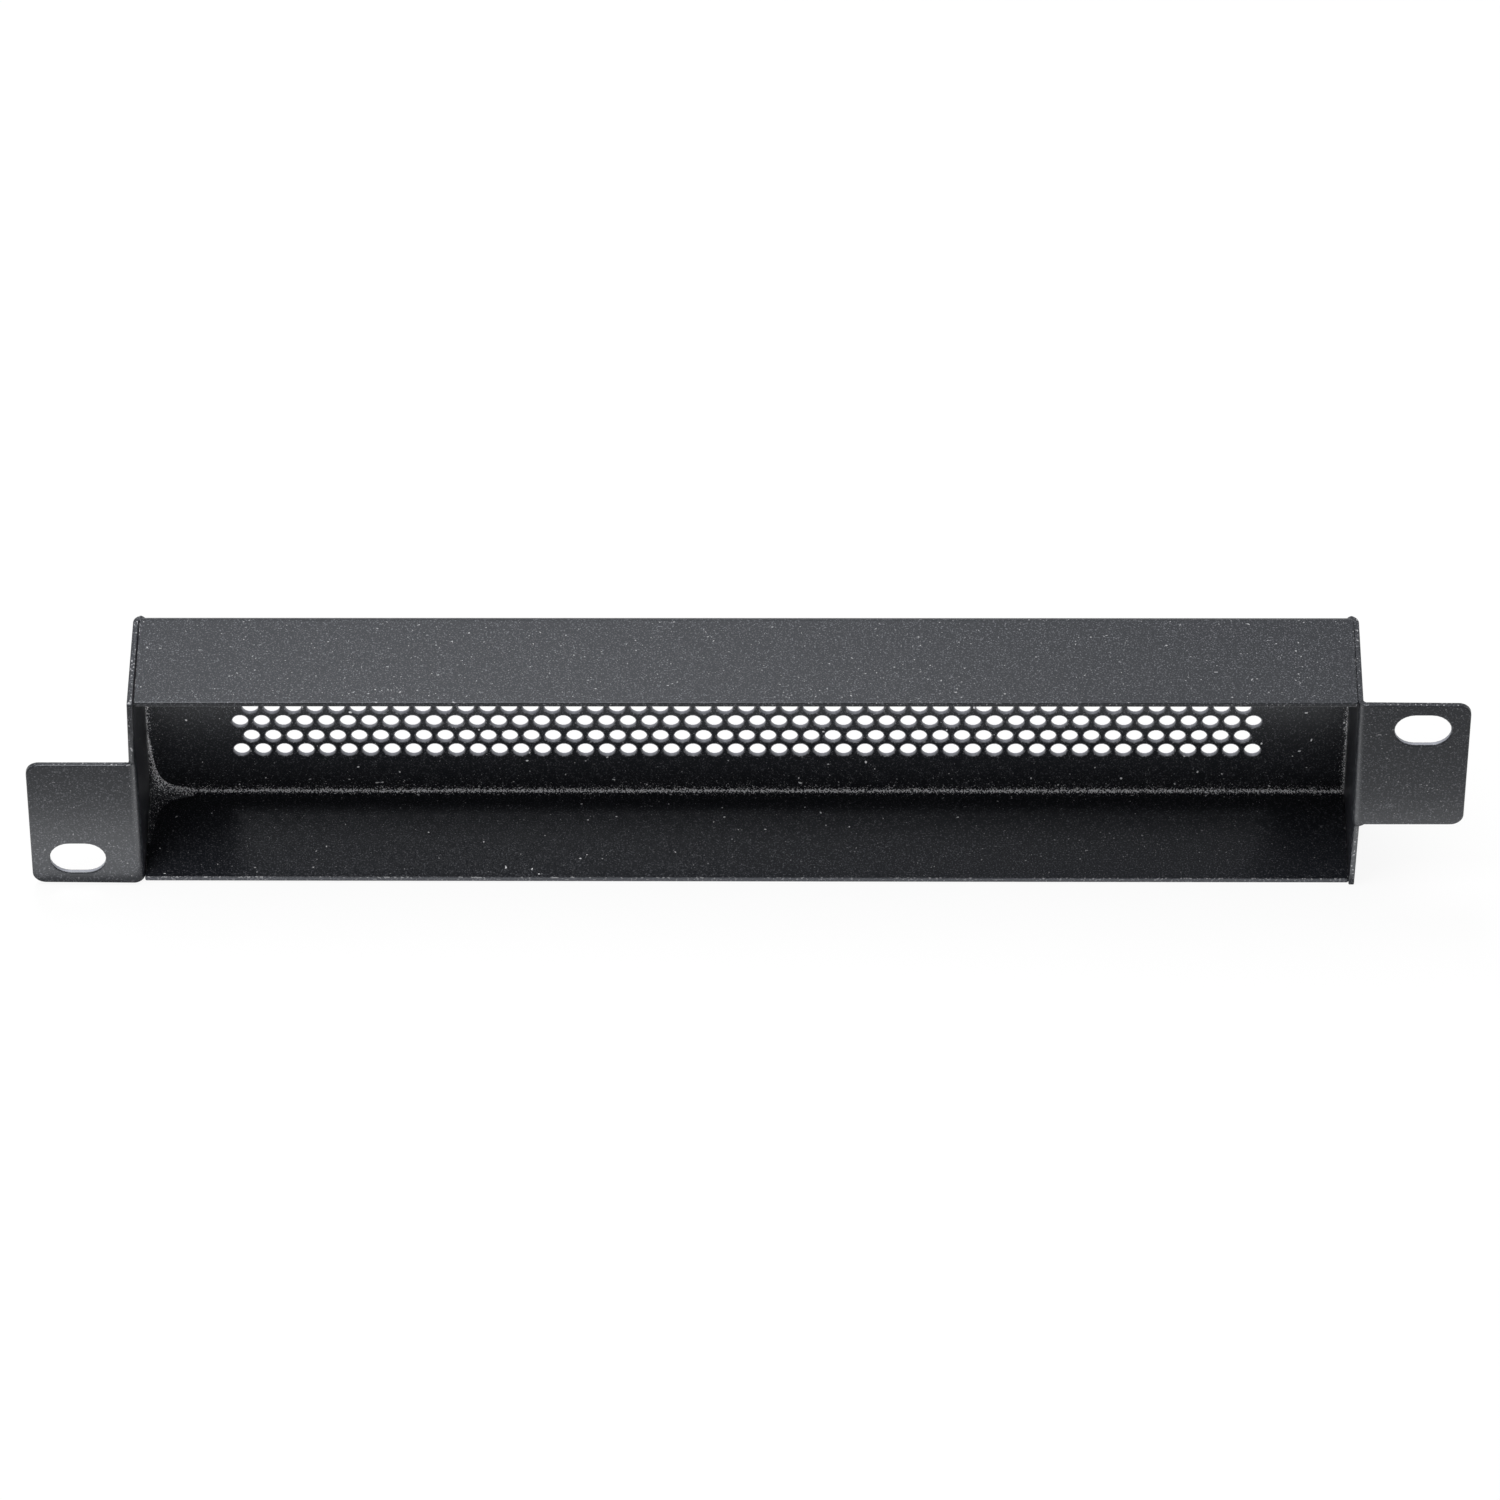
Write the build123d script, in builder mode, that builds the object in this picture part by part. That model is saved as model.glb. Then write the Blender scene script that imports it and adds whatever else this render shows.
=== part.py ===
from build123d import *
import os
from math import floor

# A vent panel for a half-width equipment rack, one rack unit high. It is one steel
# sheet: a perforated rear wall with four walls folded forward from it, which make an
# open tray, and an ear folded out of each side wall. The left ear sits low and the
# right ear high, so the panel looks the same when it is turned upside down.
#
# X runs along the width, Y to the rear and Z up, in millimetres. The origin is the
# middle of the plane that the backs of both ears share, where they meet the rack.

# Sheet and folds
sheet = 1.0
bend_inside = 0.8
edge_recess = 0.6
seam = 0.1
open_seam = 0.28

# Rack and ears
rack_unit = 44.45
unit_gap = 0.95
screw_pitch_x = 236.525
screw_to_unit_end = 6.35
slot_length = 10.0
slot_width = 7.0
slot_to_tray = 10.56
slot_to_ear_end = 8.0
ear_past_middle = 7.0
ear_corner = 2.3

# Tray
tray_height = 44.1
tray_depth = 23.1

# Torn edge of each side wall beside its ear
flare = 0.6
flare_run = 2.4

# Perforation: rows of the long kind, with a shorter staggered row between each two
hole_diameter = 2.9
hole_sides = 7
hole_pitch = 3.83
long_row_step = 7.02
short_row_drop = 0.14
border_at_sides = 16.5
border_at_top_and_bottom = 10.0

# Weld in the lower left rear corner
weld_reach = 7.65
weld_width = 4.0

# Sizes that follow
bend_outside = bend_inside + sheet
side_height = rack_unit - unit_gap
screw_pitch_z = rack_unit - 2 * screw_to_unit_end
half_tray = screw_pitch_x / 2 - slot_to_tray
half_inside = half_tray - sheet
half_span = screw_pitch_x / 2 + slot_to_ear_end
front = -sheet
rear = front + tray_depth
ear_low = -side_height / 2
ear_height = ear_past_middle - ear_low
ear_fold_end = half_inside + bend_outside
fold_rear = front + bend_outside
inner_width = 2 * half_inside
inner_height = tray_height - 2 * sheet
long_row_holes = floor((inner_width - 2 * border_at_sides) / hole_pitch) + 1
long_rows = floor((inner_height - 2 * border_at_top_and_bottom) / long_row_step) + 1
weld_root = sheet / 4
open_seam_run = tray_depth - 2 * bend_outside

# Left half of the rear, top and bottom walls: one channel section along the width. Its
# rear corners are cut off in plan, to stay inside the bend of the side wall.
with BuildPart() as left_channel:
    with BuildSketch(Plane.YZ):
        with BuildLine():
            FilletPolyline(
                (front + edge_recess, tray_height / 2),
                (rear, tray_height / 2),
                (rear, -tray_height / 2),
                (front + edge_recess, -tray_height / 2),
                radius=bend_outside,
            )
            offset(amount=sheet, side=Side.RIGHT)
        make_face()
    extrude(amount=-(half_inside - seam))
    with BuildSketch(Plane.XY.offset(-tray_height / 2)) as plan:
        with Locations((0, front)):
            Rectangle(2 * half_tray, tray_depth, align=(Align.CENTER, Align.MIN))
        chamfer(plan.vertices().group_by(Axis.Y)[-1], length=bend_outside)
    extrude(amount=tray_height, mode=Mode.INTERSECT)

# Left side wall with its ear. The wall folds forward out of the rear wall, and the
# lower part of its front edge folds out again as the ear.
with BuildPart() as left_flange:
    with BuildSketch(Plane.XY.offset(ear_low)):
        with BuildLine():
            wall_face = Line((-half_tray, front), (-half_tray, rear - bend_outside))
            JernArc(wall_face @ 1, wall_face % 1, bend_outside, -90)
            offset(amount=sheet, side=Side.RIGHT)
        make_face()
    extrude(amount=side_height)

    # the front strip of the wall makes way for the ear's fold and the torn edge
    with BuildSketch(Plane.XY.offset(ear_low)):
        with Locations((-half_tray, front)):
            Rectangle(sheet, bend_outside, align=(Align.MIN, Align.MIN))
    extrude(amount=ear_height + flare_run, mode=Mode.SUBTRACT)

    # the ear's fold
    with BuildSketch(Plane.XY.offset(ear_low)):
        with BuildLine():
            JernArc((-half_inside, fold_rear), (0, -1), bend_outside, -90)
            offset(amount=sheet, side=Side.RIGHT)
        make_face()
    extrude(amount=ear_height)

    # the torn edge swings back from the ear to the straight wall
    with BuildSketch(Plane.XY.offset(ear_low + ear_height)):
        Polygon(
            (-half_inside, fold_rear),
            (-half_tray, fold_rear),
            (-half_tray - flare, front),
            (-half_inside - flare, front),
            align=None,
        )
    with BuildSketch(Plane.XY.offset(ear_low + ear_height + flare_run)):
        Polygon(
            (-half_inside, fold_rear),
            (-half_tray, fold_rear),
            (-half_tray, front),
            (-half_inside, front),
            align=None,
        )
    loft(ruled=True)

    # the flat of the ear, with rounded outer corners and a slot for the rack's screw
    with BuildSketch(Plane.XZ) as ear_face:
        with Locations((-half_span, ear_low)):
            Rectangle(half_span - ear_fold_end, ear_height, align=(Align.MIN, Align.MIN))
        fillet(ear_face.vertices().group_by(Axis.X)[0], radius=ear_corner)
        with Locations((-screw_pitch_x / 2, -screw_pitch_z / 2)):
            SlotOverall(slot_length, slot_width, mode=Mode.SUBTRACT)
    extrude(amount=sheet)

# Weld in the lower left rear corner: three tapered beads, one along each of the folds
# that meet there, which run out away from the corner
weld_corner = Vector(-half_inside, rear - sheet, -inner_height / 2)
weld_end = weld_corner + Vector(weld_reach, 0, 0)
with BuildPart() as bead:
    with BuildSketch(Plane(weld_corner, x_dir=(0, -1, 0), z_dir=(-1, 0, 0))) as bead_base:
        Polygon((-weld_root, -weld_root), (weld_width, 0), (0, weld_width), align=None)
    loft(sections=[bead_base.sketch.face(), Vertex(*weld_end)])

with BuildPart() as weld:
    for turn in (0, 120, 240):
        add(bead.part.rotate(Axis(weld_corner, (1, -1, 1)), turn))

# Both halves of the folded sheet: the right one is the left one turned half round
with BuildPart() as left_half:
    add(left_channel.part)
    add(left_flange.part)

with BuildPart() as vent_panel:
    add(left_half.part)
    add(left_half.part.rotate(Axis.Y, 180))

    # the upper left seam stands open a little
    with BuildSketch(Plane.XY.offset(inner_height / 2 - sheet)):
        with Locations((-half_inside, front)):
            Rectangle(open_seam, open_seam_run, align=(Align.MIN, Align.MIN))
    extrude(amount=3 * sheet, mode=Mode.SUBTRACT)

    add(weld.part)

    # round holes, drawn with a few flat sides each
    with BuildSketch(Plane.XZ.offset(-rear)):
        with GridLocations(hole_pitch, long_row_step, long_row_holes, long_rows):
            RegularPolygon(hole_diameter / 2, hole_sides, rotation=90)
        with Locations((0, -short_row_drop)):
            with GridLocations(
                hole_pitch, long_row_step, long_row_holes - 1, long_rows - 1
            ):
                RegularPolygon(hole_diameter / 2, hole_sides, rotation=90)
    extrude(amount=sheet, clean=False, mode=Mode.SUBTRACT)

vent_panel.part.label = "vent_panel"
os.makedirs("parts", exist_ok=True)
export_step(vent_panel.part, "parts/vent_panel.step")
print("holes", long_rows * long_row_holes + (long_rows - 1) * (long_row_holes - 1))
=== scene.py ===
"""A folded, perforated vent panel for a half-width equipment rack, on a white stage.

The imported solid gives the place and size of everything. The pieces made here stand for
it with what the solid leaves out: round holes, rounded edges, the bent lip beside each
ear, ears and a corner that are a little out of true, the rough weld and the grain of the
powder coat.
"""

from math import pi, radians

import bpy
import numpy as np
from bpy.props import FloatProperty, FloatVectorProperty, IntProperty, PointerProperty
from mathutils import Matrix, Vector
from mathutils.geometry import delaunay_2d_cdt


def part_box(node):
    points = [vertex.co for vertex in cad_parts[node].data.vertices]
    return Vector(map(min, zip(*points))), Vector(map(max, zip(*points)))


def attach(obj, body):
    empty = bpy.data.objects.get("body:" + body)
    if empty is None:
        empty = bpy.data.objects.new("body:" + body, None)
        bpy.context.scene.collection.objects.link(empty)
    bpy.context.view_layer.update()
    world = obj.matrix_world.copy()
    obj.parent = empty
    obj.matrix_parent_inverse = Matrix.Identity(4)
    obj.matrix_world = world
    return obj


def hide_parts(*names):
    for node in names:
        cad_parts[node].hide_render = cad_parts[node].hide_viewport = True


bl_info = {
    "name": "Rack vent panel",
    "version": (1, 0, 0),
    "blender": (4, 5, 0),
    "location": "View3D > Sidebar > Vent panel",
    "description": "Builds a folded vent panel for a half-width rack and its stage",
    "category": "Add Mesh",
}

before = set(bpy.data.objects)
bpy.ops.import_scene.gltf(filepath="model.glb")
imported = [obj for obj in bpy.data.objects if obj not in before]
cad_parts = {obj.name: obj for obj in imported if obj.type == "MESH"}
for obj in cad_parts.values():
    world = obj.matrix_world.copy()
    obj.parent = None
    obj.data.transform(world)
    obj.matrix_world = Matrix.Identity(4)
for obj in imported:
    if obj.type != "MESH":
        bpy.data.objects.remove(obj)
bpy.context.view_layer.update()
panel_low, panel_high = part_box("vent_panel")

NODE = "vent_panel"
BODY = "root"
MM = 0.001

# how finely curves are drawn
QUARTER_STEPS = 9  # straight pieces in a quarter turn
EDGE_STEPS = 3  # rows of faces over a rounded cut edge
HOLE_RIM_STEPS = 1
TRAY_COLUMNS = 24
SLOT_STEPS = 12  # straight pieces in each half round end
WELD_STEPS = 48

SHARP_CORNER = 0.35 * MM  # radius of corners that aren't rounded on purpose

# limits below which a length, a share or angle and an area count as nothing
TINY, SMALL, NO_AREA = 1e-9, 1e-6, 1e-14

# a mark on cut edges that places their painted highlight and their dust, from 0 to 1 on the
# rims of holes and slots, and what that is multiplied by on parts of the tray's edge
TRAY_EDGE_RIM = 0.28
SIDE_EDGE_RIM = 0.06
UPPER_FRONT_SHARE = 0.1
LOWER_FRONT_SHARE = 0.7
SEAM_SHARE = 2.2

COOL_TINT = (0.93, 0.96, 1.0)  # colour of what the coat reflects

# parts of a noise's range, or of the rim's, over which one colour goes over to the next
FLECK_RANGE = (0.52, 0.72)
GATHERED_AND_GLINT_RANGE = (0.76, 0.88)
DUST_RANGE = (0.915, 0.975)
LONE_GRAIN_RANGE = (0.845, 0.875)
EDGE_START_RANGE = (0.0, 0.1)
EDGE_STOP_RANGE = (0.8, 1.0)
RIM_HIGHLIGHT_RANGE = (0.12, 0.9)

# the camera that the photograph was taken with, as fitted to it: angles in degrees
CAMERA_TURN, CAMERA_HEIGHT, CAMERA_ROLL = 0.715, 44.490, -0.474
CAMERA_DISTANCE = 1.63854
CAMERA_TARGET = np.array([0.841, -1.0, 11.164]) * MM
FOCAL_LENGTH = 9371.97 / 1500  # as a share of the picture's width
SENSOR_WIDTH = 36.0


def length(name, description, default, precision=3):
    """A length in metres with its name and description, for a size that can be changed."""
    return FloatProperty(
        name=name,
        description=description,
        default=default,
        precision=precision + 3,
        subtype="DISTANCE",
        unit="LENGTH",
    )


class SheetSizes(bpy.types.PropertyGroup):
    """Sizes of the folded sheet."""

    thickness: length("Thickness", "Thickness of the steel sheet", 1.0 * MM)
    bend_inside: length("Bend", "Inner radius of each fold", 0.8 * MM)
    edge_radius: length("Edge rounding", "Radius of the coated cut edges", 0.2 * MM)
    rear: length("Rear", "Place of the rear face along Y", panel_high[1])
    front: length("Front", "Place of the ears' front faces along Y", panel_low[1])
    half_height: length("Half height", "Middle to the top face", panel_high[2])
    edge_recess: length(
        "Edge recess", "How far the top and bottom walls stop short", 0.6 * MM
    )
    half_tray: length(
        "Half width", "Middle to the side walls' outer faces", 107.7025 * MM
    )
    seam: length("Seam", "Gap between the walls at each corner", 0.1 * MM)
    open_seam: length("Open seam", "Gap at the upper left corner", 0.22 * MM)
    side_half_height: length(
        "Side half height", "Middle to the side walls' ends", 21.75 * MM
    )
    droop: length("Droop", "How far the lower right front corner hangs down", 0.36 * MM)


class HoleSizes(bpy.types.PropertyGroup):
    """Sizes of the perforation."""

    diameter: length("Diameter", "Width of each hole", 2.9 * MM)
    pitch: length("Pitch", "Distance between holes in a row", 3.83 * MM)
    row_step: length("Row step", "Distance between two long rows", 7.02 * MM)
    short_row_drop: length("Short row drop", "How low the short rows sit", 0.14 * MM)
    long_rows: IntProperty(
        name="Long rows", description="Number of long rows", default=4
    )
    row_holes: IntProperty(
        name="Holes per long row", description="Number of holes in a long row", default=48
    )
    rim_radius: length("Rim rounding", "Width and height of the broken rims", 0.3 * MM)
    front_rim: FloatProperty(
        name="Front rim",
        description="Height of the broken rims on the front face, as a share of the rear's",
        default=0.4,
        subtype="FACTOR",
        min=0.0,
        max=1.0,
    )
    sides: IntProperty(
        name="Sides", description="Straight sides per drawn hole", default=16
    )


class EarSizes(bpy.types.PropertyGroup):
    """Sizes of the two ears."""

    half_span: length("Half span", "Middle to the tip of an ear", panel_high[0])
    past_middle: length(
        "Past middle", "How far an ear passes the middle height", 7.2 * MM
    )
    slant: length(
        "Slant", "How far the ear's tip leans out at its far corner", 0.25 * MM
    )
    sag: length(
        "Sag", "How far the ear's long edge hangs out beside its fold", 0.28 * MM
    )
    corner: length("Corner", "Radius of the outer corners", 2.3 * MM)
    nook: length("Nook", "Radius where the ear leaves the side wall", 0.7 * MM)
    lip_lift: FloatProperty(
        name="Lip lift",
        description="How much of the ear's fold goes on in the wall's edge beside it",
        default=0.75,
        subtype="FACTOR",
        min=0.0,
        max=1.0,
    )
    lip_run: length("Lip run", "How soon that edge comes back to the wall", 1.15 * MM)
    slot_x: length("Slot place", "Middle to the slot, along X", 118.2625 * MM)
    slot_z: length("Slot height", "Middle to the slot, along Z", 15.875 * MM)
    slot_length: length("Slot length", "Length of the slot", 9.9 * MM)
    slot_width: length("Slot width", "Width of the slot", 7.15 * MM)
    slot_rim: length("Slot rim", "Width and height of the slot's rounded rims", 0.3 * MM)


class WeldSizes(bpy.types.PropertyGroup):
    """Sizes of the weld in the lower left rear corner."""

    reach: length(
        "Reach", "How far the weld runs along the lower rear fold", 7.65 * MM
    )
    rise: length(
        "Rise", "How far it runs up and forwards along the side wall", 13.0 * MM
    )
    throat: length("Throat", "How thick the weld is between two folds", 2.65 * MM)
    roughness: length("Roughness", "Height of the lumps", 0.12 * MM)


class CoatLook(bpy.types.PropertyGroup):
    """Colours and grain of the powder coat."""

    colour: FloatVectorProperty(
        name="Coat",
        description="Colour of the coat",
        default=(0.0055, 0.0063, 0.0085),
        subtype="COLOR",
        min=0.0,
        max=1.0,
    )
    fleck: FloatVectorProperty(
        name="Fleck",
        description="Colour of the coat's light flecks",
        default=(0.085, 0.087, 0.097),
        subtype="COLOR",
        min=0.0,
        max=1.0,
    )
    dust: FloatVectorProperty(
        name="Dust",
        description="Colour of the grains of dust",
        default=(0.32, 0.32, 0.33),
        subtype="COLOR",
        min=0.0,
        max=1.0,
    )
    # the fold flecks are partly grainy coat gathered in the folds and on the weld, and
    # partly painted highlight where light catches it; the lone grains are dust
    fold: FloatVectorProperty(
        name="Fold",
        description="Colour of the light flecks where coat is gathered, and of lone grains",
        default=(0.75, 0.75, 0.77),
        subtype="COLOR",
        min=0.0,
        max=1.0,
    )
    # painted highlight: the rim colour lightens the walls of holes and slots and the cut
    # edges for the white surroundings that they reflect
    rim: FloatVectorProperty(
        name="Rim",
        description="Colour of the thinly coated rims of holes and slots",
        default=(0.19, 0.195, 0.22),
        subtype="COLOR",
        min=0.0,
        max=1.0,
    )
    roughness: FloatProperty(
        name="Roughness",
        description="Roughness of the coat",
        default=0.32,
        subtype="FACTOR",
        min=0.0,
        max=1.0,
    )
    shine: FloatProperty(
        name="Shine",
        description="Specular level of the coat",
        default=0.27,
        subtype="FACTOR",
        min=0.0,
        max=1.0,
    )
    grain: length("Grain", "Width of the coat's grains", 0.28 * MM)
    grain_height: length("Grain height", "Height of the coat's grains", 0.02 * MM, 4)


class StageLook(bpy.types.PropertyGroup):
    """Floor and light."""

    floor: FloatVectorProperty(
        name="Floor",
        description="Colour of the floor",
        default=(0.6, 0.6, 0.6),
        subtype="COLOR",
        min=0.0,
        max=1.0,
    )
    floor_lift: FloatProperty(
        name="Floor lift",
        description="How far the floor is lifted to white where it is seen",
        default=0.92,
        subtype="FACTOR",
        min=0.0,
        max=1.0,
    )
    sky: FloatProperty(
        name="Sky", description="Strength of the light from all round", default=0.3
    )
    top_lamp: FloatProperty(
        name="Top lamp",
        description="Power of the lamp overhead",
        default=16.0,
        unit="POWER",
    )
    low_lamp: FloatProperty(
        name="Low lamp",
        description="Power of the strip on the floor in front",
        default=0.036,
        unit="POWER",
    )


# ---- flat patterns and folds


def outline(corners, radii, stops):
    """Closed outline of a flat pattern, anticlockwise, and its outward directions.

    Each corner of a polygon is replaced by an arc of its radius that touches both sides.
    The straight sides also get a point wherever one of the stops, coordinates along the
    second axis, crosses them.
    """
    corners = np.asarray(corners, float)
    before = corners - np.roll(corners, 1, axis=0)
    after = np.roll(corners, -1, axis=0) - corners
    before /= np.linalg.norm(before, axis=1)[:, None]
    after /= np.linalg.norm(after, axis=1)[:, None]
    turns = np.arctan2(
        before[:, 0] * after[:, 1] - before[:, 1] * after[:, 0],
        (before * after).sum(axis=1),
    )
    arc_starts = corners - before * (np.asarray(radii) * np.tan(abs(turns) / 2))[:, None]
    points, outward = [], []
    for n, (turn, radius) in enumerate(zip(turns, radii)):
        a, b = before[n], after[n]
        left = np.array([-a[1], a[0]]) * np.sign(turn)
        centre = arc_starts[n] + left * radius
        steps = max(2, int(round(abs(turn) / (pi / 2) * QUARTER_STEPS)))
        angle = np.linspace(0, abs(turn), steps + 1)[:, None]
        arm = -left * np.cos(angle) + a * np.sin(angle)
        points.append(centre + radius * arm)
        outward.append(arm * np.sign(turn))
        # points on the straight side that follows
        start, end = points[-1][-1], arc_starts[(n + 1) % len(corners)]
        span = end - start
        if abs(span[1]) > TINY:
            t = (np.asarray(stops) - start[1]) / span[1]
            t = np.sort(t[(t > SMALL) & (t < 1 - SMALL)])[:, None]
            points.append(start + t * span)
            outward.append(np.repeat([[b[1], -b[0]]], len(t), axis=0))
    return np.concatenate(points), np.concatenate(outward)


def rounding_steps(radius, steps):
    """Distances from a cut edge at which its rounding is sampled: a quarter circle."""
    return radius * (1 - np.cos(np.linspace(0, pi / 2, steps + 1)))


class FlatSheet:
    """A flat pattern: points, what shapes and colours the sheet at each one, and faces.

    Each point has a depth from the cut edge, as a share of the rounding's radius, and an
    outward direction there. It also has that radius, the share of the rounding's height
    on the front face, a mark that places the painted highlight and the dust of cut edges,
    and the number of its cutout or -1.
    """

    def __init__(self, edge_rim=0.0):
        self.edge_rim = edge_rim
        self.points = np.zeros((0, 2))
        self.depth = np.zeros(0)
        self.outward = np.zeros((0, 2))
        self.ring = np.zeros(0, int)
        self.rim = np.zeros(0)
        self.radius = np.zeros(0)
        self.front = np.zeros(0)
        self.quads = []
        self.fill = []
        self.edges = []
        self.outer = None
        self.rings = 0

    def add(self, points, depth, outward, ring=-1, rim=0.0, radius=0.0, front=1.0):
        """Adds points and gives their numbers."""
        first = len(self.points)
        n = len(points)
        self.points = np.concatenate([self.points, points])
        self.depth = np.concatenate([self.depth, np.broadcast_to(depth, n)])
        self.outward = np.concatenate([self.outward, np.broadcast_to(outward, (n, 2))])
        self.ring = np.concatenate([self.ring, np.full(n, ring)])
        self.rim = np.concatenate([self.rim, np.full(n, rim)])
        self.radius = np.concatenate([self.radius, np.full(n, radius)])
        self.front = np.concatenate([self.front, np.full(n, front)])
        return np.arange(first, first + n)

    def border(self, points, outward, radius, steps, cutout, front=1.0):
        """A band of quads that follows a closed cut edge, as wide as its rounding.

        Row k of the band is the edge moved inwards by rounding step k, along the
        outward direction. The innermost row bounds the part that is filled later.
        """
        rows = []
        ring = self.rings if cutout else -1
        self.rings += bool(cutout)
        depths = rounding_steps(radius, steps)
        for k, d in enumerate(depths):
            last = k == len(depths) - 1
            rim = (k == 0) if cutout else self.edge_rim * (1 - k / (len(depths) - 1))
            ring_here = ring if last else -1
            row = points - d * outward
            rows.append(self.add(row, d / radius, outward, ring_here, rim, radius, front))
        rows = np.array(rows)
        ahead = np.roll(rows, -1, axis=1)
        quads = np.stack([rows[:-1], ahead[:-1], ahead[1:], rows[1:]], axis=-1)
        self.quads.append(quads.reshape(-1, 4))
        self.fill.append(rows[-1])
        self.edges.append(np.stack([rows[-1], ahead[-1]], axis=-1))
        if not cutout:
            self.outer = points - depths[-1] * outward
        return rows[-1]

    def fold_line(self, points, start=(), stop=()):
        """A line that no triangle may cross: free points, and border points at its ends."""
        ids = self.add(points, 1.0, (0.0, 0.0))
        self.fill.append(ids)
        chain = np.concatenate([start, ids, stop]).astype(int)
        self.edges.append(np.stack([chain[:-1], chain[1:]], axis=-1))

    def triangles(self):
        """Fills the part between the borders with triangles that keep to the fold lines."""
        ids = np.concatenate(self.fill)
        place = np.full(len(self.points), -1)
        place[ids] = np.arange(len(ids))
        edges = place[np.concatenate(self.edges)]
        made = delaunay_2d_cdt(
            [Vector(p) for p in self.points[ids].tolist()],
            edges.tolist(),
            [],
            0,
            TINY,
            True,
        )
        source = np.array([o[0] for o in made[3]])
        tri = ids[source[np.array(made[2])]]
        a, b, c = (self.points[tri[:, k]] for k in range(3))
        area = (b - a)[:, 0] * (c - a)[:, 1] - (b - a)[:, 1] * (c - a)[:, 0]
        tri[area < 0] = tri[area < 0][:, ::-1]
        tri = tri[abs(area) > NO_AREA]
        rings = self.ring[tri]
        in_hole = (rings[:, 0] >= 0) & (rings == rings[:, :1]).all(axis=1)
        tri = tri[~in_hole]
        return tri[inside(self.points[tri].mean(axis=1), self.outer)]


def inside(points, polygon):
    """True for the points inside a polygon.

    A ray along the first axis crosses its sides an odd number of times from there.
    """
    p = polygon[None]
    q = np.roll(polygon, -1, axis=0)[None]
    y = points[:, None, 1]
    spans = (p[..., 1] > y) != (q[..., 1] > y)
    rise = np.where(spans, q[..., 1] - p[..., 1], 1.0)
    cross = p[..., 0] + (y - p[..., 1]) * (q[..., 0] - p[..., 0]) / rise
    return (spans & (cross > points[:, None, 0])).sum(axis=1) % 2 == 1


def thicken(flat, place, thickness, thin=None):
    """Gives a placed flat pattern its thickness and rounded edges, as one closed surface.

    Each point moves from the middle of the sheet along its normal by half the thickness,
    less the fall of a quarter circle towards the cut edge: r (1 - sqrt(1 - (1 - d)^2)),
    with r the radius and d the depth. The front face takes only the points' share of that
    fall. A strip joins both faces along every cut edge.
    """
    quads = np.concatenate(flat.quads)
    tri = flat.triangles()
    middle, normal, along_u, along_v = place(flat.points)
    lean = 1 - np.clip(flat.depth, 0, 1)
    rise = np.sqrt(1 - lean**2)
    fall = flat.radius * (1 - rise)
    half = thickness / 2 - (0 if thin is None else thin(flat.points))
    out = flat.outward[:, :1] * along_u + flat.outward[:, 1:] * along_v
    points, normals = [], []
    for side, share in ((1, flat.front), (-1, 1.0)):
        points.append(middle + side * (half - fall * share)[:, None] * normal)
        normals.append(lean[:, None] * out + side * rise[:, None] * normal)
    n = len(middle)
    directed = np.concatenate([quads[:, [k, (k + 1) % 4]] for k in range(4)])
    directed = np.concatenate([directed] + [tri[:, [k, (k + 1) % 3]] for k in range(3)])
    forward = directed[:, 0] * n + directed[:, 1]
    backward = directed[:, 1] * n + directed[:, 0]
    rim = directed[~np.isin(forward, backward)]
    rim_quads = np.stack([rim[:, 1], rim[:, 0], rim[:, 0] + n, rim[:, 1] + n], axis=-1)
    faces = (
        quads.tolist()
        + tri.tolist()
        + (quads[:, ::-1] + n).tolist()
        + (tri[:, ::-1] + n).tolist()
        + rim_quads.tolist()
    )
    return np.concatenate(points), faces, np.concatenate(normals), np.tile(flat.rim, 2)


def bend(length_in, radius, share=1.0):
    """A quarter fold of a sheet's middle line, run into straight on at both ends.

    For a distance past the start of the fold it gives how far the line has gone ahead,
    how far it has gone sideways and its angle: r sin(a / r), r (1 - cos(a / r)) and
    a / r inside the fold, and a straight line at that angle behind it. The share
    multiplies the curvature.
    """
    arc = radius * pi / 2
    a = np.clip(length_in, 0, arc)
    past = np.maximum(length_in - arc, 0)
    before = np.minimum(length_in, 0)
    angle = a / radius * share
    straight = angle < SMALL
    safe = np.where(straight, 1.0, angle)
    ahead = np.where(straight, a, a * np.sin(safe) / safe)
    side = np.where(straight, 0.0, a * (1 - np.cos(safe)) / safe)
    return (
        before + ahead + past * np.cos(angle),
        side + past * np.sin(angle),
        angle,
    )


def drooping(points, sizes):
    """Lowers the points towards the lower right front corner, which is bent down a little.

    The drop is the corner's own times a^2 b c^2, with a going from 0 at 20 mm left of the
    middle to 1 at the right wall, b from 0 at the rear wall to 1 at the front, and c from
    0 at half height to 1 at the bottom.
    """
    start = -20 * MM
    a = np.clip((points[:, 0] - start) / (sizes.half_tray - start), 0, 1)
    b = np.clip((sizes.rear - points[:, 1]) / (sizes.rear - sizes.front), 0, 1)
    c = np.clip(-points[:, 2] / sizes.half_height, 0, 1)
    drop = sizes.droop * a**2 * b * c**2
    return points - drop[:, None] * (0.0, 0.0, 1.0)


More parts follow.
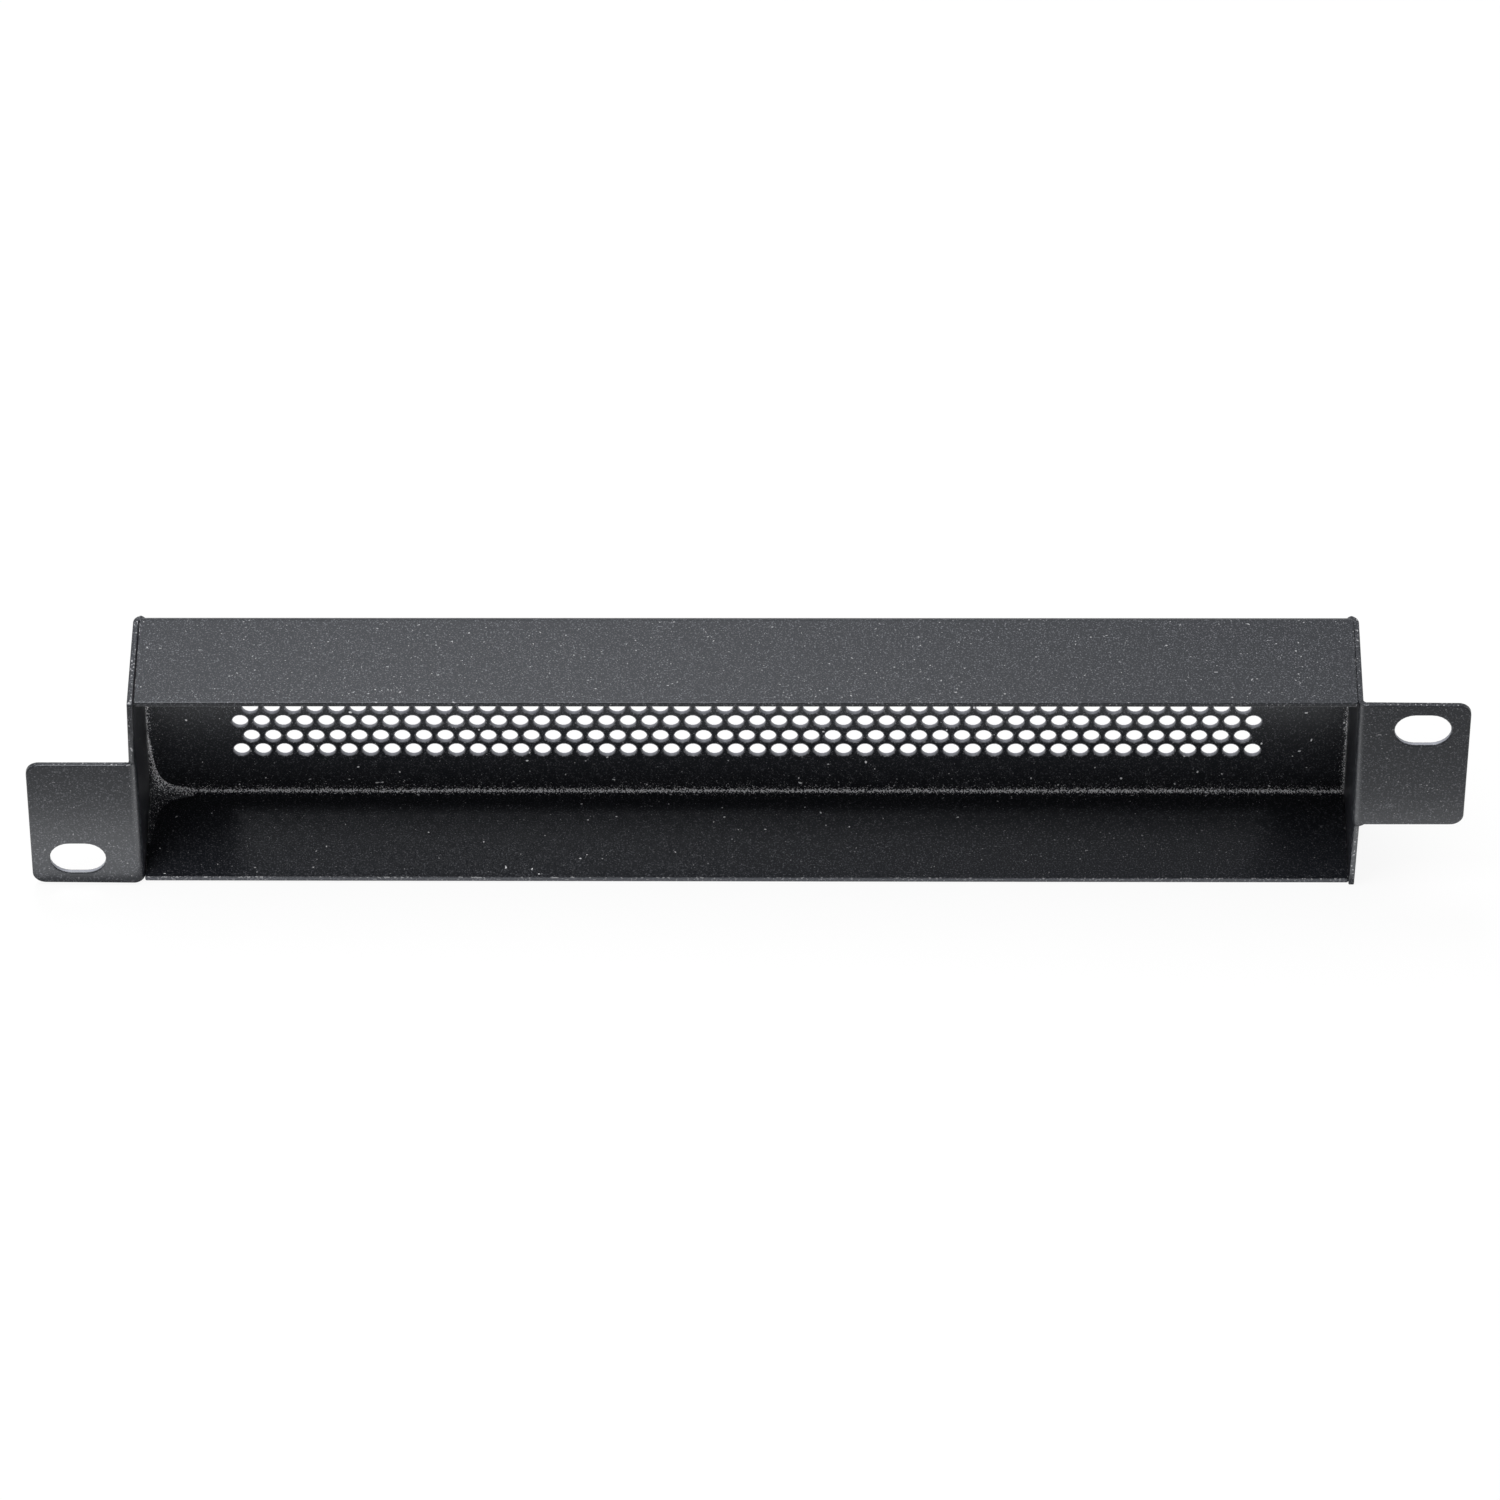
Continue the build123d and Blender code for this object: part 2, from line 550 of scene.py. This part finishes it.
def add_piece(name, points, faces, normals, rim, material):
    """Puts points, faces and one normal per point into a new object that rides on the body.

    The rim attribute is 1 on the inner walls of holes and slots, less on the other cut
    edges, and 0 elsewhere.
    """
    mesh = bpy.data.meshes.new(name)
    mesh.from_pydata(points.tolist(), [], faces)
    mesh.validate()
    mesh.shade_smooth()
    mesh.attributes.new("rim", "FLOAT", "POINT").data.foreach_set("value", rim)
    length_of = np.linalg.norm(normals, axis=1)[:, None]
    mesh.normals_split_custom_set_from_vertices((normals / length_of).tolist())
    mesh.materials.append(material)
    piece = bpy.data.objects.new(name, mesh)
    bpy.context.scene.collection.objects.link(piece)
    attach(piece, BODY)
    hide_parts(NODE)
    return piece


# ---- materials


def powder_coat():
    """Fine-textured satin black powder coat, made once and shared by all the pieces."""
    name = "powder_coat_black"
    if name in bpy.data.materials:
        return bpy.data.materials[name]
    look = bpy.context.scene.vent_coat
    material = bpy.data.materials.new(name)
    material.use_nodes = True
    nodes, links = material.node_tree.nodes, material.node_tree.links
    shader = nodes["Principled BSDF"]
    shader.inputs["Roughness"].default_value = look.roughness
    shader.inputs["Specular IOR Level"].default_value = look.shine
    shader.inputs["Specular Tint"].default_value = (*COOL_TINT, 1.0)
    place = nodes.new("ShaderNodeTexCoord").outputs["Object"]

    def calculate(operation, *values):
        """A calculation on numbers, sockets or both."""
        node = nodes.new("ShaderNodeMath")
        node.operation = operation
        feed(node, values)
        return node.outputs["Value"]

    def calculate_vector(operation, *values):
        """The same on vectors; only the length comes out as a number."""
        node = nodes.new("ShaderNodeVectorMath")
        node.operation = operation
        feed(node, values)
        return node.outputs["Value" if operation == "LENGTH" else "Vector"]

    def feed(node, values):
        """Links sockets to a node's inputs and writes the other values into them."""
        for socket, value in zip(node.inputs, values):
            if isinstance(value, bpy.types.NodeSocket):
                links.new(value, socket)
            else:
                socket.default_value = value

    def ramp(value, start, stop):
        """0 before the start, 1 behind the stop and smooth between them."""
        node = nodes.new("ShaderNodeMapRange")
        node.interpolation_type = "SMOOTHSTEP"
        node.inputs["From Min"].default_value = start
        node.inputs["From Max"].default_value = stop
        links.new(value, node.inputs["Value"])
        return node.outputs["Result"]

    def blend(factor, under, over):
        """One colour over another."""
        node = nodes.new("ShaderNodeMix")
        node.data_type = "RGBA"
        links.new(factor, node.inputs["Factor"])
        if isinstance(under, bpy.types.NodeSocket):
            links.new(under, node.inputs["A"])
        else:
            node.inputs["A"].default_value = (*under, 1.0)
        node.inputs["B"].default_value = (*over, 1.0)
        return node.outputs["Result"]

    def noise(width, detail):
        """Noise whose lumps are about as wide as given."""
        node = nodes.new("ShaderNodeTexNoise")
        node.inputs["Scale"].default_value = 1 / width
        node.inputs["Detail"].default_value = detail
        node.inputs["Roughness"].default_value = 0.6
        links.new(place, node.inputs["Vector"])
        return node.outputs["Fac"]

    # distance to the nearest fold of the rear wall, inside the tray
    sizes = bpy.context.scene.vent_sheet
    t = sizes.thickness
    corner = (sizes.half_tray - t, sizes.rear - t, sizes.half_height - t)
    away = calculate_vector("SUBTRACT", calculate_vector("ABSOLUTE", place), corner)
    # how fast the flecks thin out along each axis, from the long folds and the upright ones
    thinning = ((0, 1.9, 0.8), (1.9, 1.1, 0))
    full, fade, slack = 0.4 * MM, 0.5 * MM, 0.1 * MM
    to_fold = [
        calculate_vector("LENGTH", calculate_vector("MULTIPLY", away, rates))
        for rates in thinning
    ]
    nearest = calculate("MINIMUM", to_fold[0], to_fold[1])
    nearest = calculate("MAXIMUM", calculate("SUBTRACT", nearest, full), 0.0)
    near = calculate("DIVIDE", fade, calculate("ADD", nearest, fade))
    axes = nodes.new("ShaderNodeSeparateXYZ")
    links.new(away, axes.inputs["Vector"])
    outermost = calculate("MAXIMUM", axes.outputs["X"], axes.outputs["Y"])
    outermost = calculate("MAXIMUM", outermost, axes.outputs["Z"])
    within = calculate("LESS_THAN", outermost, slack)
    gathered_and_glinting = calculate("MULTIPLY", near, within)
    # the weld's mark, which thickens its light flecks, is partly painted highlight
    weld = nodes.new("ShaderNodeAttribute")
    weld.attribute_name = "weld"
    gathered_and_glinting = calculate("MAXIMUM", gathered_and_glinting, weld.outputs["Fac"])

    grain = noise(look.grain, 3.0)
    # partly painted highlight: near the rear wall's folds and on the weld the light flecks
    # crowd, for the coat gathered there and the light it catches
    fleck_width, gathering_and_glint = 0.9 * look.grain, 0.345
    more = calculate("MULTIPLY", gathered_and_glinting, gathering_and_glint)
    flecks = calculate("ADD", noise(fleck_width, 1.0), more)
    coat = blend(ramp(grain, *FLECK_RANGE), look.colour, look.fleck)
    coat = blend(ramp(flecks, *GATHERED_AND_GLINT_RANGE), coat, look.fold)

    # grains of dust, in loose crowds and along the cut edges, and a few bright ones
    # inside the tray
    crowd_width, dust_width, lone_width = 9 * MM, 0.42 * MM, 0.8 * MM
    crowding, dust_strength = 0.2, 0.6
    rim = nodes.new("ShaderNodeAttribute")
    rim.attribute_name = "rim"
    thin = rim.outputs["Fac"]
    edge = ramp(thin, *EDGE_START_RANGE)
    edge = calculate("SUBTRACT", edge, ramp(thin, *EDGE_STOP_RANGE))
    crowd = calculate("ADD", noise(crowd_width, 1.0), edge)
    dust = calculate("ADD", calculate("MULTIPLY", crowd, crowding), noise(dust_width, 0.0))
    dust = calculate("MULTIPLY", ramp(dust, *DUST_RANGE), dust_strength)
    coat = blend(dust, coat, look.dust)
    lone = calculate("MULTIPLY", ramp(noise(lone_width, 0.0), *LONE_GRAIN_RANGE), within)
    coat = blend(lone, coat, look.fold)

    # painted highlight on the walls of holes and slots and, more weakly, on the cut edges
    coat = blend(ramp(thin, *RIM_HIGHLIGHT_RANGE), coat, look.rim)
    links.new(coat, shader.inputs["Base Color"])

    bump = nodes.new("ShaderNodeBump")
    bump.inputs["Distance"].default_value = look.grain_height
    links.new(grain, bump.inputs["Height"])
    links.new(bump.outputs["Normal"], shader.inputs["Normal"])
    return material


# ---- pieces


class AddTray(bpy.types.Operator):
    """Adds the tray: rear wall with its holes, and the top and bottom walls"""

    bl_idname = "vent_panel.add_tray"
    bl_label = "Perforated tray"
    bl_options = {"REGISTER", "UNDO"}

    def execute(self, context):
        sizes, holes = context.scene.vent_sheet, context.scene.vent_holes
        t = sizes.thickness
        radius = sizes.bend_inside + t / 2
        flat_half = sizes.half_height - sizes.bend_inside - t
        middle_y = sizes.rear - t / 2
        wall = sizes.rear - sizes.bend_inside - t - sizes.front - sizes.edge_recess
        end = flat_half + radius * pi / 2 + wall
        half_width = sizes.half_tray - t - sizes.seam
        bend_steps = flat_half + radius * np.linspace(0, pi / 2, QUARTER_STEPS + 1)
        lines = np.concatenate([-bend_steps[::-1], bend_steps])

        flat = FlatSheet(edge_rim=TRAY_EDGE_RIM)
        corners = np.array([(-1, -1), (1, -1), (1, 1), (-1, 1)]) * (half_width, end)
        edge, outward = outline(corners, [SHARP_CORNER] * 4, lines)
        inner = flat.border(edge, outward, sizes.edge_radius, EDGE_STEPS, cutout=False)
        across = np.linspace(-1, 1, TRAY_COLUMNS + 1)[1:-1] * half_width
        for s in lines:
            # the border points closest to both ends of the line
            ends = [
                [inner[np.argmin(np.hypot(*(flat.points[inner] - (x, s)).T))]]
                for x in (-half_width, half_width)
            ]
            flat.fold_line(np.stack([across, np.full(len(across), s)], axis=1), *ends)

        angle = (np.arange(holes.sides) + 0.5) * 2 * pi / holes.sides
        arm = np.stack([np.cos(angle), np.sin(angle)], axis=1)[::-1]
        for row in range(2 * holes.long_rows - 1):
            short = row % 2
            count = holes.row_holes - short
            z = (row / 2 - (holes.long_rows - 1) / 2) * holes.row_step
            z -= short * holes.short_row_drop
            for x in (np.arange(count) - (count - 1) / 2) * holes.pitch:
                flat.border(
                    np.array([x, z]) + holes.diameter / 2 * arm,
                    -arm,
                    holes.rim_radius,
                    HOLE_RIM_STEPS,
                    cutout=True,
                    front=holes.front_rim,
                )

        near_end = half_width - 10 * MM
        front_strip, end_strip = 0.5 * MM, half_width - 0.3 * MM

        def place(points):
            """The pattern folded forwards above and below, with its ends at the seams."""
            x, s = points[:, 0], points[:, 1]
            ahead, side, angle = bend(abs(s) - flat_half, radius)
            sign = np.sign(s)
            z = sign * (flat_half + ahead)
            y = middle_y - side
            near = np.clip((abs(x) - near_end) / (half_width - near_end), 0, 1)
            half_folds = angle / (pi / 4)
            rear_part = 1 - np.clip(half_folds, 0, 1)
            front_part = np.clip(half_folds - 1, 0, 1)
            is_open = (x < 0) & (s > 0)
            is_closed = (abs(s) > flat_half) & ~is_open
            pull = rear_part * sizes.bend_inside / 2
            pull = pull + is_open * front_part * (sizes.open_seam - sizes.seam)
            pull = pull - is_closed * front_part * sizes.seam
            x = x - np.sign(x) * near * pull
            zero = np.zeros_like(x)
            along_u = np.stack([zero + 1, zero, zero], axis=1)
            along_v = np.stack([zero, -sign * np.sin(angle), np.cos(angle)], axis=1)
            normal = np.cross(along_u, along_v)
            return np.stack([x, y, z], axis=1), normal, along_u, along_v

        points, faces, normals, rim = thicken(flat, place, t)
        # painted highlight: the ends at the seams and the lower front edge get more of the
        # light rim colour than the upper one
        outer = (rim > 0) & (rim < 1)
        at_front = outer & (points[:, 1] < front_strip)
        at_end = outer & (abs(points[:, 0]) > end_strip)
        upper = points[at_front, 2] > 0
        rim[at_front] *= np.where(upper, UPPER_FRONT_SHARE, LOWER_FRONT_SHARE)
        rim[at_end] *= SEAM_SHARE
        points = drooping(points, sizes)
        add_piece("perforated_tray", points, faces, normals, rim, powder_coat())
        return {"FINISHED"}


class AddSides(bpy.types.Operator):
    """Adds both side walls, each with the ear that is folded out of it"""

    bl_idname = "vent_panel.add_sides"
    bl_label = "Side walls and ears"
    bl_options = {"REGISTER", "UNDO"}

    def execute(self, context):
        sizes, ear = context.scene.vent_sheet, context.scene.vent_ears
        t = sizes.thickness
        outside = sizes.bend_inside + t
        radius = sizes.bend_inside + t / 2
        arc = radius * pi / 2
        tail, tail_thinning = 1.0 * MM, 0.06 * MM
        wall = sizes.rear - outside - (sizes.front + outside)
        rear_bend = tail
        ear_bend = tail + arc + wall
        lip = ear_bend + outside
        ear_flat = ear.half_span - (sizes.half_tray - t + outside)
        tip = ear_bend + arc + ear_flat
        low, high, step = -sizes.side_half_height, sizes.side_half_height, ear.past_middle

        along_arc = arc * np.linspace(0, 1, QUARTER_STEPS + 1)
        stops = np.concatenate([[tail / 2], rear_bend + along_arc, ear_bend + along_arc])
        # the rear corners are cut off, the front one beside the torn edge stands out a
        # little, and the ear's long edge bends softly from just before its fold
        cut, tear_rise, soft, sag_start = 1.35 * MM, 0.3 * MM, 2 * MM, 0.5 * MM
        corners = [
            (low + cut, 0),
            (high - cut, 0),
            (high, cut),
            (high + tear_rise, lip),
            (step, lip),
            (step, tip),
            (low - ear.sag / 3, tip + ear.slant),
            (low - ear.sag, ear_bend + arc),
            (low, ear_bend - sag_start),
            (low, cut),
        ]
        radii = [SHARP_CORNER] * 4
        radii += [ear.nook, ear.corner, ear.corner, soft, soft, SHARP_CORNER]
        edge, outward = outline(corners, radii, stops)
        flat = FlatSheet(edge_rim=SIDE_EDGE_RIM)
        flat.border(edge, outward, sizes.edge_radius, EDGE_STEPS, cutout=False)
        clear, spacing = 1.0 * MM, 3 * MM
        # more points where the edge beside the ear bends back to the wall
        beside_ear = step + np.array([-0.4, 0.4, 1.0, 1.8, 2.8, 4.0]) * MM
        for p in stops:
            top = high if p < lip - clear / 2 else step
            ends = clear + max(cut - p, 0)
            middle = np.arange(low + clear + spacing, top - spacing, spacing)
            heights = [low + ends, *middle, top - (ends if top == high else clear)]
            if p > ear_bend and p < lip - clear / 2:
                heights = sorted([*heights, *beside_ear])
            flat.fold_line(np.stack([heights, np.full(len(heights), p)], axis=1))

        # the slot, in the pattern's own coordinates
        slot_path = ear_bend + arc + ear.slot_x - (sizes.half_tray - t + outside)
        angle = np.linspace(-pi / 2, pi / 2, SLOT_STEPS + 1)
        round_end = np.stack([np.sin(angle), np.cos(angle)], axis=1)
        straight = ear.slot_length / 2 - ear.slot_width / 2
        upper = round_end * ear.slot_width / 2 + (0, straight)
        slot = np.concatenate([upper, -upper]) + (-ear.slot_z, slot_path)
        inwards = -np.concatenate([round_end, -round_end])
        flat.border(slot, inwards, ear.slot_rim, EDGE_STEPS, cutout=True)

        # how close to the ear's end the wall's edge still goes over into it
        blend_half = 0.3 * MM

        def place(points):
            """The pattern folded at the rear wall and back out again into the ear.

            Beside the ear, the wall's front edge keeps a share of the ear's fold, which
            fades out with the distance from the ear as exp(-d / run).
            """
            z, p = points[:, 0], points[:, 1]
            ahead, side, turn = bend(p - rear_bend, radius)
            x = -(sizes.half_tray - outside) - ahead
            y = sizes.rear - t / 2 - side
            lifted = ear.lip_lift * np.exp(-(z - step) / ear.lip_run)
            share = np.where(z > step, lifted, 1.0)
            fade = np.clip((z - step + blend_half) / (2 * blend_half), 0, 1)
            share = np.where(abs(z - step) < blend_half, 1 + (share - 1) * fade, share)
            forward, outwards, back = bend(np.maximum(p - ear_bend, 0), radius, share)
            in_front = p > ear_bend
            x = np.where(in_front, -(sizes.half_tray - t / 2) - outwards, x)
            y = np.where(in_front, sizes.front + outside - forward, y)
            heading = pi + turn - np.where(in_front, back, 0)
            zero = np.zeros_like(x)
            along_v = np.stack([np.cos(heading), np.sin(heading), zero], axis=1)
            along_u = np.stack([zero, zero, zero + 1], axis=1)
            normal = np.cross(along_u, along_v)
            return np.stack([x, y, z], axis=1), normal, along_u, along_v

        def thin(points):
            """How much thinner the sheet is: a little on the tail inside the rear wall."""
            return np.clip(1 - points[:, 1] / tail, 0, 1) * tail_thinning

        points, faces, normals, rim = thicken(flat, place, t, thin)
        half_turn = np.array([-1.0, 1.0, -1.0])
        coat = powder_coat()
        add_piece("left_side_and_ear", points, faces, normals, rim, coat)
        right = drooping(points * half_turn, sizes)
        add_piece("right_side_and_ear", right, faces, normals * half_turn, rim, coat)
        return {"FINISHED"}


class AddWeld(bpy.types.Operator):
    """Adds the weld in the lower left rear corner"""

    bl_idname = "vent_panel.add_weld"
    bl_label = "Corner weld"
    bl_options = {"REGISTER", "UNDO"}

    def execute(self, context):
        sizes, weld = context.scene.vent_sheet, context.scene.vent_weld
        t = sizes.thickness
        corner = np.array(
            [-(sizes.half_tray - t), sizes.rear - t, -(sizes.half_height - t)]
        )
        inwards = np.array([1.0, -1.0, 1.0])
        # the weld is fuller on the lower wall than on the other two
        fullness = weld.throat**2 * np.array([1.3, 1.0, 1.0])
        n = WELD_STEPS
        # a triangle of directions, from one fold to the next, and a root behind it
        i, j = np.meshgrid(np.arange(n + 1), np.arange(n + 1), indexing="ij")
        keep = i + j <= n
        number = np.full(i.shape, -1)
        number[keep] = np.arange(keep.sum())
        a, b = i[keep] / n, j[keep] / n
        # the power draws the directions towards the folds, where the weld is longest
        share = np.maximum(np.stack([a, b, 1 - a - b], axis=1), 0) ** 1.6
        share /= np.linalg.norm(share, axis=1)[:, None]
        pairs = share * np.roll(share, -1, axis=1)
        reach = share**2 @ np.array([weld.reach, weld.rise, weld.rise])
        limit = 1 / np.sqrt(np.maximum((pairs / fullness).sum(axis=1), TINY))
        far = np.minimum(limit, reach)
        # lumps: a sum of sine waves in random directions, which calms towards the folds
        noise = np.random.default_rng(4)
        wave_count, wave_length, wave_gain, calm_rate = 24, 1.3 * MM, 3, 4
        waves = noise.normal(size=(wave_count, 3)) * 2 * pi / wave_length
        phases = noise.uniform(0, 2 * pi, wave_count)
        at = share * far[:, None]
        lumps = np.sin(at @ waves.T + phases).mean(axis=1) * wave_gain
        far = far + weld.roughness * lumps * np.clip(pairs.sum(axis=1) * calm_rate, 0, 1)
        face = corner + inwards * share * far[:, None]
        root_depth = 0.3 * MM
        root = corner - inwards * root_depth
        count = len(face)
        points = np.concatenate([face, [root]])
        upward = np.stack([number[:-1, :-1], number[1:, :-1], number[:-1, 1:]], axis=-1)
        downward = np.stack([number[1:, :-1], number[1:, 1:], number[:-1, 1:]], axis=-1)
        tri = np.concatenate([upward.reshape(-1, 3), downward.reshape(-1, 3)])
        tri = tri[(tri >= 0).all(axis=1)]
        slanted = number[np.arange(n, 0, -1), np.arange(0, n)]
        border = np.concatenate([number[:-1, 0], slanted, number[0, n:0:-1]])
        fan = np.stack([np.roll(border, -1), border, np.full(len(border), count)], axis=-1)
        # inwards mirrors one axis, which turns the faces over
        tri = np.concatenate([tri, fan])[:, ::-1]
        mesh_normals = triangle_normals(points, tri)
        no_rim = np.zeros(len(points))
        coat = powder_coat()
        piece = add_piece("corner_weld", points, tri.tolist(), mesh_normals, no_rim, coat)
        # painted highlight: the weld's light flecks are thickest where it meets the rear
        # wall
        least_highlight, highlight_reach = 0.45, 1.6 * MM
        near_wall = np.clip(1 - (corner[1] - points[:, 1]) / highlight_reach, 0, 1)
        light = least_highlight + (1 - least_highlight) * near_wall
        piece.data.attributes.new("weld", "FLOAT", "POINT").data.foreach_set("value", light)
        return {"FINISHED"}


def triangle_normals(points, tri):
    """Normal of each point: the sum of its triangles' normals, weighted by their areas."""
    a, b, c = (points[tri[:, k]] for k in range(3))
    normal = np.cross(b - a, c - a)
    total = np.zeros_like(points)
    for k in range(3):
        np.add.at(total, tri[:, k], normal)
    return total


# ---- stage


def add_lamp(name, position, target, size, power):
    """A rectangular area lamp that looks at a target."""
    light = bpy.data.lights.new(name, "AREA")
    light.energy = power
    light.shape = "RECTANGLE"
    light.size, light.size_y = size
    lamp = bpy.data.objects.new(name, light)
    bpy.context.scene.collection.objects.link(lamp)
    lamp.location = position
    lamp.rotation_mode = "QUATERNION"
    lamp.rotation_quaternion = (Vector(target) - Vector(position)).to_track_quat("-Z", "Y")
    return lamp


def seen_directly(nodes, links):
    """1 for camera, glossy and transmission rays, 0 for the rays that light things."""
    path = nodes.new("ShaderNodeLightPath")
    seen = path.outputs["Is Camera Ray"]
    for kind in ("Is Glossy Ray", "Is Transmission Ray"):
        either = nodes.new("ShaderNodeMath")
        either.operation = "MAXIMUM"
        links.new(seen, either.inputs[0])
        links.new(path.outputs[kind], either.inputs[1])
        seen = either.outputs["Value"]
    return seen


def add_surroundings(look):
    """A world that is white where it is seen and dimmer where it only gives light."""
    world = bpy.data.worlds.new("white_surroundings")
    bpy.context.scene.world = world
    world.use_nodes = True
    nodes, links = world.node_tree.nodes, world.node_tree.links
    strength = nodes.new("ShaderNodeMapRange")
    strength.inputs["To Min"].default_value = look.sky
    strength.inputs["To Max"].default_value = 1.0
    links.new(seen_directly(nodes, links), strength.inputs["Value"])
    links.new(strength.outputs["Result"], nodes["Background"].inputs["Strength"])
    nodes["Background"].inputs["Color"].default_value = (1.0, 1.0, 1.0, 1.0)


def add_floor(look, z):
    """A pale floor at a height, lifted to white where it is seen."""
    half = 1.5
    mesh = bpy.data.meshes.new("floor")
    mesh.from_pydata(
        [(-half, -half, z), (half, -half, z), (half, half, z), (-half, half, z)],
        [],
        [(0, 1, 2, 3)],
    )
    material = bpy.data.materials.new("floor_paper")
    material.use_nodes = True
    nodes, links = material.node_tree.nodes, material.node_tree.links
    shader = nodes["Principled BSDF"]
    shader.inputs["Base Color"].default_value = (*look.floor, 1.0)
    shader.inputs["Roughness"].default_value = 0.9
    shader.inputs["Specular IOR Level"].default_value = 0.0
    white = nodes.new("ShaderNodeEmission")
    lift = nodes.new("ShaderNodeMath")
    lift.operation = "MULTIPLY"
    lift.inputs[1].default_value = look.floor_lift
    links.new(seen_directly(nodes, links), lift.inputs[0])
    mix = nodes.new("ShaderNodeMixShader")
    links.new(lift.outputs["Value"], mix.inputs["Fac"])
    links.new(shader.outputs["BSDF"], mix.inputs[1])
    links.new(white.outputs["Emission"], mix.inputs[2])
    links.new(mix.outputs["Shader"], nodes["Material Output"].inputs["Surface"])
    mesh.materials.append(material)
    floor = bpy.data.objects.new("floor", mesh)
    bpy.context.scene.collection.objects.link(floor)


def add_camera():
    """The photograph's camera, from its three angles, its target and its distance."""
    turn, height, roll = (radians(a) for a in (CAMERA_TURN, CAMERA_HEIGHT, CAMERA_ROLL))
    level = np.array([np.sin(turn), -np.cos(turn), 0.0])
    back = level * np.cos(height) + (0.0, 0.0, np.sin(height))
    right = np.array([np.cos(turn), np.sin(turn), 0.0])
    up = np.cross(back, right)
    across = np.cos(roll) * right + np.sin(roll) * up
    upright = -np.sin(roll) * right + np.cos(roll) * up
    data = bpy.data.cameras.new("camera")
    data.sensor_width = SENSOR_WIDTH
    data.lens = SENSOR_WIDTH * FOCAL_LENGTH
    data.clip_start, data.clip_end = 0.1, 20.0
    camera = bpy.data.objects.new("camera", data)
    bpy.context.scene.collection.objects.link(camera)
    place = Matrix.Translation(CAMERA_TARGET + CAMERA_DISTANCE * back)
    turned = Matrix(np.stack([across, upright, back], axis=1).tolist())
    camera.matrix_world = place @ turned.to_4x4()
    bpy.context.scene.camera = camera


class AddStage(bpy.types.Operator):
    """Adds the floor, the lamps, the white surroundings and the camera"""

    bl_idname = "vent_panel.add_stage"
    bl_label = "Stage"
    bl_options = {"REGISTER", "UNDO"}

    def execute(self, context):
        look = context.scene.vent_stage
        context.scene.view_settings.view_transform = "Standard"
        add_surroundings(look)

        clearance = 0.05 * MM
        floor_z = panel_low[2] - context.scene.vent_sheet.droop - clearance
        add_floor(look, floor_z)

        overhead, middle, top_size = (-0.19, 0.08, 0.8), (0.0, 0.01, 0.0), (1.0, 0.3)
        add_lamp("lamp_top", overhead, middle, top_size, look.top_lamp)
        # a strip that lies on the floor just in front of the panel and shines upwards
        strip_y, strip_lift, strip_size = -0.0105, 0.3 * MM, (0.3, 0.015)
        strip, above = (0.0, strip_y, floor_z + strip_lift), (0.0, strip_y, 1.0)
        low = add_lamp("lamp_low", strip, above, strip_size, look.low_lamp)
        low.visible_camera = False

        add_camera()
        return {"FINISHED"}


class VentPanelPanel(bpy.types.Panel):
    """Lists the pieces of the vent panel"""

    bl_idname = "VIEW3D_PT_vent_panel"
    bl_label = "Vent panel"
    bl_space_type = "VIEW_3D"
    bl_region_type = "UI"
    bl_category = "Vent panel"

    def draw(self, context):
        for operator in OPERATORS:
            self.layout.operator(operator.bl_idname)
        for name in GROUPS:
            box = self.layout.box()
            group = getattr(context.scene, name)
            for prop in group.bl_rna.properties:
                if prop.identifier not in ("rna_type", "name"):
                    box.prop(group, prop.identifier)


GROUPS = {
    "vent_sheet": SheetSizes,
    "vent_holes": HoleSizes,
    "vent_ears": EarSizes,
    "vent_weld": WeldSizes,
    "vent_coat": CoatLook,
    "vent_stage": StageLook,
}
OPERATORS = (AddTray, AddSides, AddWeld, AddStage)


def register():
    """Registers the classes and gives each scene its sizes and looks."""
    for cls in (*GROUPS.values(), *OPERATORS, VentPanelPanel):
        bpy.utils.register_class(cls)
    for name, group in GROUPS.items():
        setattr(bpy.types.Scene, name, PointerProperty(type=group))


def unregister():
    """Takes back what register did."""
    for name in GROUPS:
        delattr(bpy.types.Scene, name)
    for cls in reversed((*GROUPS.values(), *OPERATORS, VentPanelPanel)):
        bpy.utils.unregister_class(cls)


def main():
    register()
    bpy.ops.vent_panel.add_tray()
    bpy.ops.vent_panel.add_sides()
    bpy.ops.vent_panel.add_weld()
    bpy.ops.vent_panel.add_stage()


if __name__ == "__main__":
    main()
